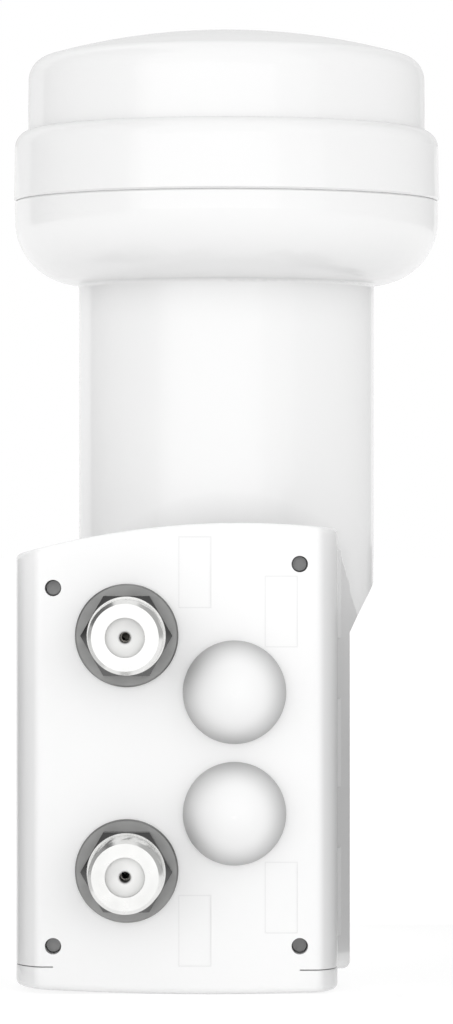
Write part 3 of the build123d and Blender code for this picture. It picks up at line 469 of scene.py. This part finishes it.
class LNB_OT_port_bodies(bpy.types.Operator):
    """Cut the real thread on the port bodies"""

    bl_idname = "lnb.port_bodies"
    bl_label = "Port bodies"
    roughness = 0.24
    # Radii, and the depth of the flange
    bore, flange, shank, thread = 2.555 * MM, 5.1 * MM, 4.55 * MM, 4.7625 * MM
    flange_depth = 1.4 * MM
    # Rings in a turn of the thread, and in shares of the pitch: run-out at an end, crest and flanks
    rows_per_turn = 10
    run_out, crest_flat, flanks = 0.6, 0.12, 0.7

    def execute(self, context):
        chosen = context.scene.lnb_ports
        for number in (1, 2):
            node = f"connector_body_{number}"
            centre, back, tip = port_axis(node)
            plating = tuple(chosen.plating)
            surface = turned_metal(f"port_plating_{number}", plating, self.roughness, centre)
            rings = self.rings(chosen, back, tip)
            piece = turned_mesh(f"port_body_{number}", rings, chosen.segments, centre)
            stand_in(piece, node, surface)
        return {"FINISHED"}

    def rings(self, chosen, back, tip):
        """Bore, flange, shank and thread from the back to the tip, and back through the bore."""
        lid = back + self.flange_depth
        start, top = chosen.thread_back, tip - chosen.chamfer
        rings = [(tip, self.bore), (back, self.bore), (back, self.flange), (lid, self.flange)]
        rings += [(lid, self.shank), (start, self.shank)]
        rows = int((top - start) / chosen.pitch * self.rows_per_turn)
        for row in range(rows + 1):
            distance = start + (top - start) * row / rows
            rings.append((distance, self.crest(chosen, distance, top)))
        rings.append((tip, self.thread - chosen.chamfer))
        return rings

    def crest(self, chosen, distance, top):
        """Radius of the thread at a front distance, as a function of the angle."""
        ends = min(distance - chosen.thread_back, top - distance)
        fade = min(1.0, max(0.0, ends / (self.run_out * chosen.pitch)))
        thread, depth, pitch = self.thread, chosen.thread_depth, chosen.pitch
        crest_flat, flanks = self.crest_flat, self.flanks

        def radius(angle):
            phase = (distance / pitch - angle / (2 * math.pi)) % 1
            flank = min(1.0, max(0.0, (abs(phase - 0.5) * 2 - crest_flat) / flanks))
            return thread - fade * depth * flank

        return radius


class LNB_OT_insulators(bpy.types.Operator):
    """Crown the insulators and round their core holes"""

    bl_idname = "lnb.insulators"
    bl_label = "Insulators"
    # Radii, the depth of the core hole and the rounding of its edge
    outer, chamber, hole = 2.535 * MM, 1.12 * MM, 0.7 * MM
    entry, lip = 4.6 * MM, 0.25 * MM
    crown_steps, lip_steps = 10, 6
    # Share of the hole's radius within which the painted shade round it is full
    full_shade_share = 0.8
    roughness, metallic, grain, grain_scale = 0.35, 0.0, 0.002, 900

    def execute(self, context):
        chosen = context.scene.lnb_ports
        for number in (1, 2):
            node = f"connector_insulator_{number}"
            centre, back, tip = port_axis(node)
            surface = self.pale(f"insulator_pale_{number}", chosen, centre)
            rings = self.rings(chosen, back, tip)
            piece = turned_mesh(f"port_insulator_{number}", rings, chosen.segments, centre)
            stand_in(piece, node, surface)
        return {"FINISHED"}

    def pale(self, name, chosen, centre):
        """Pale plastic with painted shade round the core hole."""
        tone = tuple(chosen.insulator)
        surface = drab(name, tone, self.roughness, self.metallic, self.grain, self.grain_scale)
        # Painted shade round the core hole
        full, none = self.full_shade_share * self.hole, self.hole + self.lip
        hole = surface.spread(surface.reach(centre), 1, 0, full, none)
        return surface.dim(hole, chosen.hole_shade_tone)

    def rings(self, chosen, back, tip):
        """Sleeve, crowned face and rounded core hole, and back through the chamber."""
        rings = [(back, self.outer), (tip - chosen.crown, self.outer)]
        for step in range(1, self.crown_steps + 1):
            share = step / self.crown_steps
            reach = self.outer - (self.outer - self.hole - self.lip) * share
            rings.append((tip - chosen.crown * (1 - share) ** 2, reach))
        for step in range(1, self.lip_steps + 1):
            turn = math.pi / 2 * step / self.lip_steps
            depth, inset = self.lip * (1 - math.cos(turn)), self.lip * (1 - math.sin(turn))
            rings.append((tip - depth, self.hole + inset))
        inside = tip - self.entry
        return rings + [(inside, self.hole), (inside, self.chamber), (back, self.chamber)]


class LNB_OT_port_fasteners(bpy.types.Operator):
    """Finish the nuts and the washers, with painted shade on the nuts' corners"""

    bl_idname = "lnb.port_fasteners"
    bl_label = "Nuts and washers"
    nut_roughness, washer_roughness = 0.24, 0.42
    # Width of the step from the turned face to the corners, which carry painted shade and
    # reflection
    edge_width = 0.05 * MM

    def execute(self, context):
        chosen = context.scene.lnb_ports
        for number in (1, 2):
            nut, washer = f"connector_nut_{number}", f"connector_washer_{number}"
            centre = port_axis(nut)[0]
            face, turned = chosen.nut_face, tuple(chosen.nut)
            plating = turned_metal(f"nut_plating_{number}", turned, self.nut_roughness, centre)
            edge = plating.spread(plating.reach(centre), 0, 1, face, face + self.edge_width)
            # Painted light: the corners' tone runs from dark above to lighter below by height
            lit = plating.spread(plating.height(centre), 1, 0, -face, face)
            corner = plating.mix(lit, tuple(chosen.nut_corner_shade), tuple(chosen.nut_lower_lit))
            tone = plating.mix(edge, turned, corner)
            plating.link(tone, plating.shader.inputs["Base Color"])
            paint(plating, nut)
            zinc = tuple(chosen.washer)
            dull = turned_metal(f"washer_zinc_{number}", zinc, self.washer_roughness, centre)
            paint(dull, washer)
        return {"FINISHED"}


class LNB_OT_pins(bpy.types.Operator):
    """Finish the drive pins in dark steel"""

    bl_idname = "lnb.pins"
    bl_label = "Cover pins"

    def execute(self, context):
        paint_plain("pin_steel", "cover_pins")
        return {"FINISHED"}


class LNB_OT_seals(bpy.types.Operator):
    """Finish the seals and the absorber in black rubber"""

    bl_idname = "lnb.seals"
    bl_label = "Seals"

    def execute(self, context):
        ports = ("connector_seal_1", "connector_seal_2")
        paint_plain("seal_rubber", "radome_seal", "waveguide_seal", "cover_seal", *ports)
        paint_plain("absorber_sheet", "absorber_pad")
        return {"FINISHED"}


class LNB_OT_waveguide(bpy.types.Operator):
    """Finish the horn, the chassis, the lid and the probes"""

    bl_idname = "lnb.waveguide"
    bl_label = "Waveguide"

    def execute(self, context):
        paint_plain("cast_metal", "feed_horn", "chassis", "shield_lid")
        paint_plain("probe_gilt", "probe_straight", "probe_bent")
        paint_plain("contact_bronze", "connector_contact_1", "connector_contact_2")
        paint_plain("bush_pale", "probe_bush_1", "probe_bush_2")
        paint_plain("rod_drawn", "isolation_rod")
        paint_plain("screw_steel", "lid_screws", "chassis_screws")
        return {"FINISHED"}


class LNB_OT_electronics(bpy.types.Operator):
    """Finish the board with its copper tracks, and the parts on it"""

    bl_idname = "lnb.electronics"
    bl_label = "Electronics"
    mask, track = (0.03, 0.16, 0.07), (0.06, 0.27, 0.12)
    smooth, rough, wear_scale = 0.3, 0.42, 300
    track_scale, track_width, track_height = 260, 0.03, 0.02 * MM

    def execute(self, context):
        paint(self.board(), "circuit_board")
        chips = ("amplifier_transistors", "mixer_chip", "switch_chip", "voltage_regulator")
        paint_plain("chip_moulding", *chips)
        paint_plain("crystal_can", "reference_crystal")
        paint_plain("capacitor_body", "board_capacitors")
        return {"FINISHED"}

    def board(self):
        """Green mask with raised tracks, laid out on the board's upright face."""
        board = Surface("board_mask").rough(self.wear_scale, self.smooth, self.rough)
        turn = board.node("ShaderNodeMapping")
        turn.inputs["Rotation"].default_value = (math.radians(90), 0, 0)
        board.link(board.place, turn.inputs["Vector"])
        tracks = board.node("ShaderNodeTexBrick", offset=0.5)
        board.link(turn.outputs["Vector"], tracks.inputs["Vector"])
        tracks.inputs["Scale"].default_value = self.track_scale
        tracks.inputs["Mortar Size"].default_value = self.track_width
        tone = board.mix(tracks.outputs["Fac"], self.mask, self.track)
        board.link(tone, board.shader.inputs["Base Color"])
        return board.bump(tracks.outputs["Fac"], self.track_height)


class LNB_OT_studio(bpy.types.Operator):
    """Set up the camera, the lamps, the floor and the white surroundings"""

    bl_idname = "lnb.studio"
    bl_label = "Studio"
    # How far to the back a direction points before the light from there gets weaker
    rear_start = 0.45
    paper = (0.95, 0.95, 0.95, 1)
    floor_side, floor_front, floor_back = 3, -3, 6
    box_width, box_height = 2.45, 0.6
    box_place, box_target = (-0.26, -1.6, 0.22), (0, 0, -0.02)

    def execute(self, context):
        chosen = context.scene.lnb_studio
        context.scene.view_settings.view_transform = "Standard"
        self.camera(context, chosen)
        self.surroundings(context, chosen)
        self.floor(context, chosen)
        self.reflections(context, chosen)
        self.softbox(context, chosen)
        return {"FINISHED"}

    def camera(self, context, chosen):
        data = bpy.data.cameras.new("camera")
        data.lens = chosen.lens
        camera = bpy.data.objects.new("camera", data)
        camera.location = (0, -chosen.distance, chosen.height)
        camera.rotation_euler = (math.radians(90), 0, 0)
        context.scene.collection.objects.link(camera)
        context.scene.camera = camera

    def seen(self, tree):
        """Rays that show the white background: straight, mirrored and through glass."""
        path = tree.nodes.new("ShaderNodeLightPath")
        first = tree.nodes.new("ShaderNodeMath")
        second = tree.nodes.new("ShaderNodeMath")
        first.operation = second.operation = "MAXIMUM"
        tree.links.new(path.outputs["Is Camera Ray"], first.inputs[0])
        tree.links.new(path.outputs["Is Glossy Ray"], first.inputs[1])
        tree.links.new(first.outputs["Value"], second.inputs[0])
        tree.links.new(path.outputs["Is Transmission Ray"], second.inputs[1])
        return second.outputs["Value"]

    def surroundings(self, context, chosen):
        world = bpy.data.worlds.new("surroundings")
        world.use_nodes = True
        context.scene.world = world
        tree = world.node_tree
        tree.nodes.clear()
        ambient = tree.nodes.new("ShaderNodeBackground")
        way = tree.nodes.new("ShaderNodeTexCoord")
        aim = tree.nodes.new("ShaderNodeSeparateXYZ")
        tree.links.new(way.outputs["Generated"], aim.inputs["Vector"])
        above = chosen.ambient * chosen.zenith
        upward = self.fall(tree, aim.outputs["Z"], 0, chosen.ambient, above)
        rearward = self.fall(tree, aim.outputs["Y"], self.rear_start, 1, chosen.rear)
        level = tree.nodes.new("ShaderNodeMath")
        level.operation = "MULTIPLY"
        tree.links.new(upward, level.inputs[0])
        tree.links.new(rearward, level.inputs[1])
        tree.links.new(level.outputs["Value"], ambient.inputs["Strength"])
        white = tree.nodes.new("ShaderNodeBackground")
        for background in (ambient, white):
            background.inputs["Color"].default_value = (1, 1, 1, 1)
        mix = tree.nodes.new("ShaderNodeMixShader")
        tree.links.new(self.seen(tree), mix.inputs["Fac"])
        tree.links.new(ambient.outputs["Background"], mix.inputs[1])
        tree.links.new(white.outputs["Background"], mix.inputs[2])
        out = tree.nodes.new("ShaderNodeOutputWorld")
        tree.links.new(mix.outputs["Shader"], out.inputs["Surface"])

    def fall(self, tree, direction, start, near, far):
        """A level that goes from near to far as a direction's share runs from a start to 1."""
        made = tree.nodes.new("ShaderNodeMapRange")
        made.inputs["From Min"].default_value = start
        made.inputs["To Min"].default_value = near
        made.inputs["To Max"].default_value = far
        tree.links.new(direction, made.inputs["Value"])
        return made.outputs["Result"]

    def sheet(self, context, name, corners, material):
        """A flat stage piece from its four corners."""
        data = bpy.data.meshes.new(name)
        data.from_pydata(corners, [], [(0, 1, 2, 3)])
        data.materials.append(material)
        piece = bpy.data.objects.new(name, data)
        context.scene.collection.objects.link(piece)
        return piece

    def floor(self, context, chosen):
        """White floor that keeps a share of its own shading, so that the shadow shows."""
        material = bpy.data.materials.new("floor_white")
        material.use_nodes = True
        tree = material.node_tree
        tree.nodes.clear()
        paper = tree.nodes.new("ShaderNodeBsdfDiffuse")
        paper.inputs["Color"].default_value = self.paper
        glow = tree.nodes.new("ShaderNodeEmission")
        glow.inputs["Strength"].default_value = chosen.floor_glow
        blend = tree.nodes.new("ShaderNodeMixShader")
        blend.inputs["Fac"].default_value = chosen.floor_shadow
        tree.links.new(glow.outputs["Emission"], blend.inputs[1])
        tree.links.new(paper.outputs["BSDF"], blend.inputs[2])
        mix = tree.nodes.new("ShaderNodeMixShader")
        tree.links.new(self.seen(tree), mix.inputs["Fac"])
        tree.links.new(paper.outputs["BSDF"], mix.inputs[1])
        tree.links.new(blend.outputs["Shader"], mix.inputs[2])
        out = tree.nodes.new("ShaderNodeOutputMaterial")
        tree.links.new(mix.outputs["Shader"], out.inputs["Surface"])
        level, side, front, back = CAD_BOX[0][2], self.floor_side, self.floor_front, self.floor_back
        plan = ((-side, front), (side, front), (side, back), (-side, back))
        corners = [(*spot, level) for spot in plan]
        self.sheet(context, "floor", corners, material)

    def glow(self, name, strength):
        """Evenly bright material of a card."""
        material = bpy.data.materials.new(name)
        material.use_nodes = True
        tree = material.node_tree
        tree.nodes.clear()
        light = tree.nodes.new("ShaderNodeEmission")
        light.inputs["Strength"].default_value = strength
        out = tree.nodes.new("ShaderNodeOutputMaterial")
        tree.links.new(light.outputs["Emission"], out.inputs["Surface"])
        return material

    def reflections(self, context, chosen):
        """Walls and cards that only reflections see, and low flags that also shade the case.

        Each one has its two ends on plan, its lower and upper edges and its level.
        """
        low, high, upper, tall, short = CAD_BOX[0][2], 3.0, -0.012, -0.020, -0.029
        side, back, beside = 1.2, 2.5, 0.036
        cards = {
            "wall_left": ((-side, -0.9), (-side, 1.08), low, high, chosen.wall_left),
            "wall_right": ((side, -0.9), (side, back), low, high, chosen.wall_right),
            "wall_back": ((-2.8, back), (side, back), low, high, chosen.wall_back),
            "wall_top": ((-2.8, 2.4), (side, 2.4), 0.235, high, chosen.wall_top),
            "port_left": ((-0.046, -0.043), (-0.046, -0.016), low, tall, chosen.port_left),
            "port_right": ((0.035, -0.027), (0.035, -0.004), short, tall, chosen.flag),
            "flag_left": ((-0.047, -0.042), (-0.047, 0.01), low, tall, chosen.flag),
            "flag_front": ((0.0225, -0.035), (0.0225, -0.027), low, upper, chosen.flag),
            "flag_right": ((beside, -0.027), (beside, 0.018), low, short, chosen.flag),
            "flag_rear": ((beside, 0.018), (beside, 0.042), low, tall, chosen.flag),
            "flag_far": ((beside, 0.042), (beside, 0.08), low, short, chosen.flag),
            "flag_back": ((beside, 0.08), (0.01, 0.08), low, short, chosen.flag),
        }
        for name, (start, end, bottom, top, level) in cards.items():
            corners = [(*start, bottom), (*end, bottom), (*end, top), (*start, top)]
            card = self.sheet(context, name, corners, self.glow(name, level))
            card.visible_camera = card.visible_shadow = card.visible_transmission = False
            card.visible_diffuse = name.startswith("flag")

    def softbox(self, context, chosen):
        """A wide softbox in front of the ports, with its lower edge near the floor."""
        data = bpy.data.lights.new("softbox", "AREA")
        data.shape = "RECTANGLE"
        data.size, data.size_y = self.box_width, self.box_height
        data.energy = chosen.softbox
        lamp = bpy.data.objects.new("softbox", data)
        lamp.location = self.box_place
        aim = Vector(self.box_target) - lamp.location
        lamp.rotation_euler = aim.to_track_quat("-Z", "Y").to_euler()
        context.scene.collection.objects.link(lamp)


STEPS = (
    LNB_OT_mouldings,
    LNB_OT_plugs,
    LNB_OT_port_bodies,
    LNB_OT_insulators,
    LNB_OT_port_fasteners,
    LNB_OT_pins,
    LNB_OT_seals,
    LNB_OT_waveguide,
    LNB_OT_electronics,
    LNB_OT_studio,
)


class LNB_PT_sidebar(bpy.types.Panel):
    """Steps and settings of the LNB"""

    bl_idname = "LNB_PT_sidebar"
    bl_label = "Satellite LNB"
    bl_space_type = "VIEW_3D"
    bl_region_type = "UI"
    bl_category = "LNB"

    def draw(self, context):
        scene = context.scene
        for group in (scene.lnb_mouldings, scene.lnb_ports, scene.lnb_studio):
            box = self.layout.box()
            for name in group.__annotations__:
                box.prop(group, name)
        for step in STEPS:
            self.layout.operator(step.bl_idname)


GROUPS = {
    "lnb_mouldings": LNB_PG_mouldings,
    "lnb_ports": LNB_PG_ports,
    "lnb_studio": LNB_PG_studio,
}


def register():
    for name, group in GROUPS.items():
        bpy.utils.register_class(group)
        setattr(bpy.types.Scene, name, PointerProperty(type=group))
    for cls in (*STEPS, LNB_PT_sidebar):
        bpy.utils.register_class(cls)


def unregister():
    for cls in (LNB_PT_sidebar, *reversed(STEPS)):
        bpy.utils.unregister_class(cls)
    for name, group in GROUPS.items():
        delattr(bpy.types.Scene, name)
        bpy.utils.unregister_class(group)


def main():
    register()
    bpy.ops.lnb.mouldings()
    bpy.ops.lnb.plugs()
    bpy.ops.lnb.port_bodies()
    bpy.ops.lnb.insulators()
    bpy.ops.lnb.port_fasteners()
    bpy.ops.lnb.pins()
    bpy.ops.lnb.seals()
    bpy.ops.lnb.waveguide()
    bpy.ops.lnb.electronics()
    bpy.ops.lnb.studio()


if __name__ == "__main__":
    main()
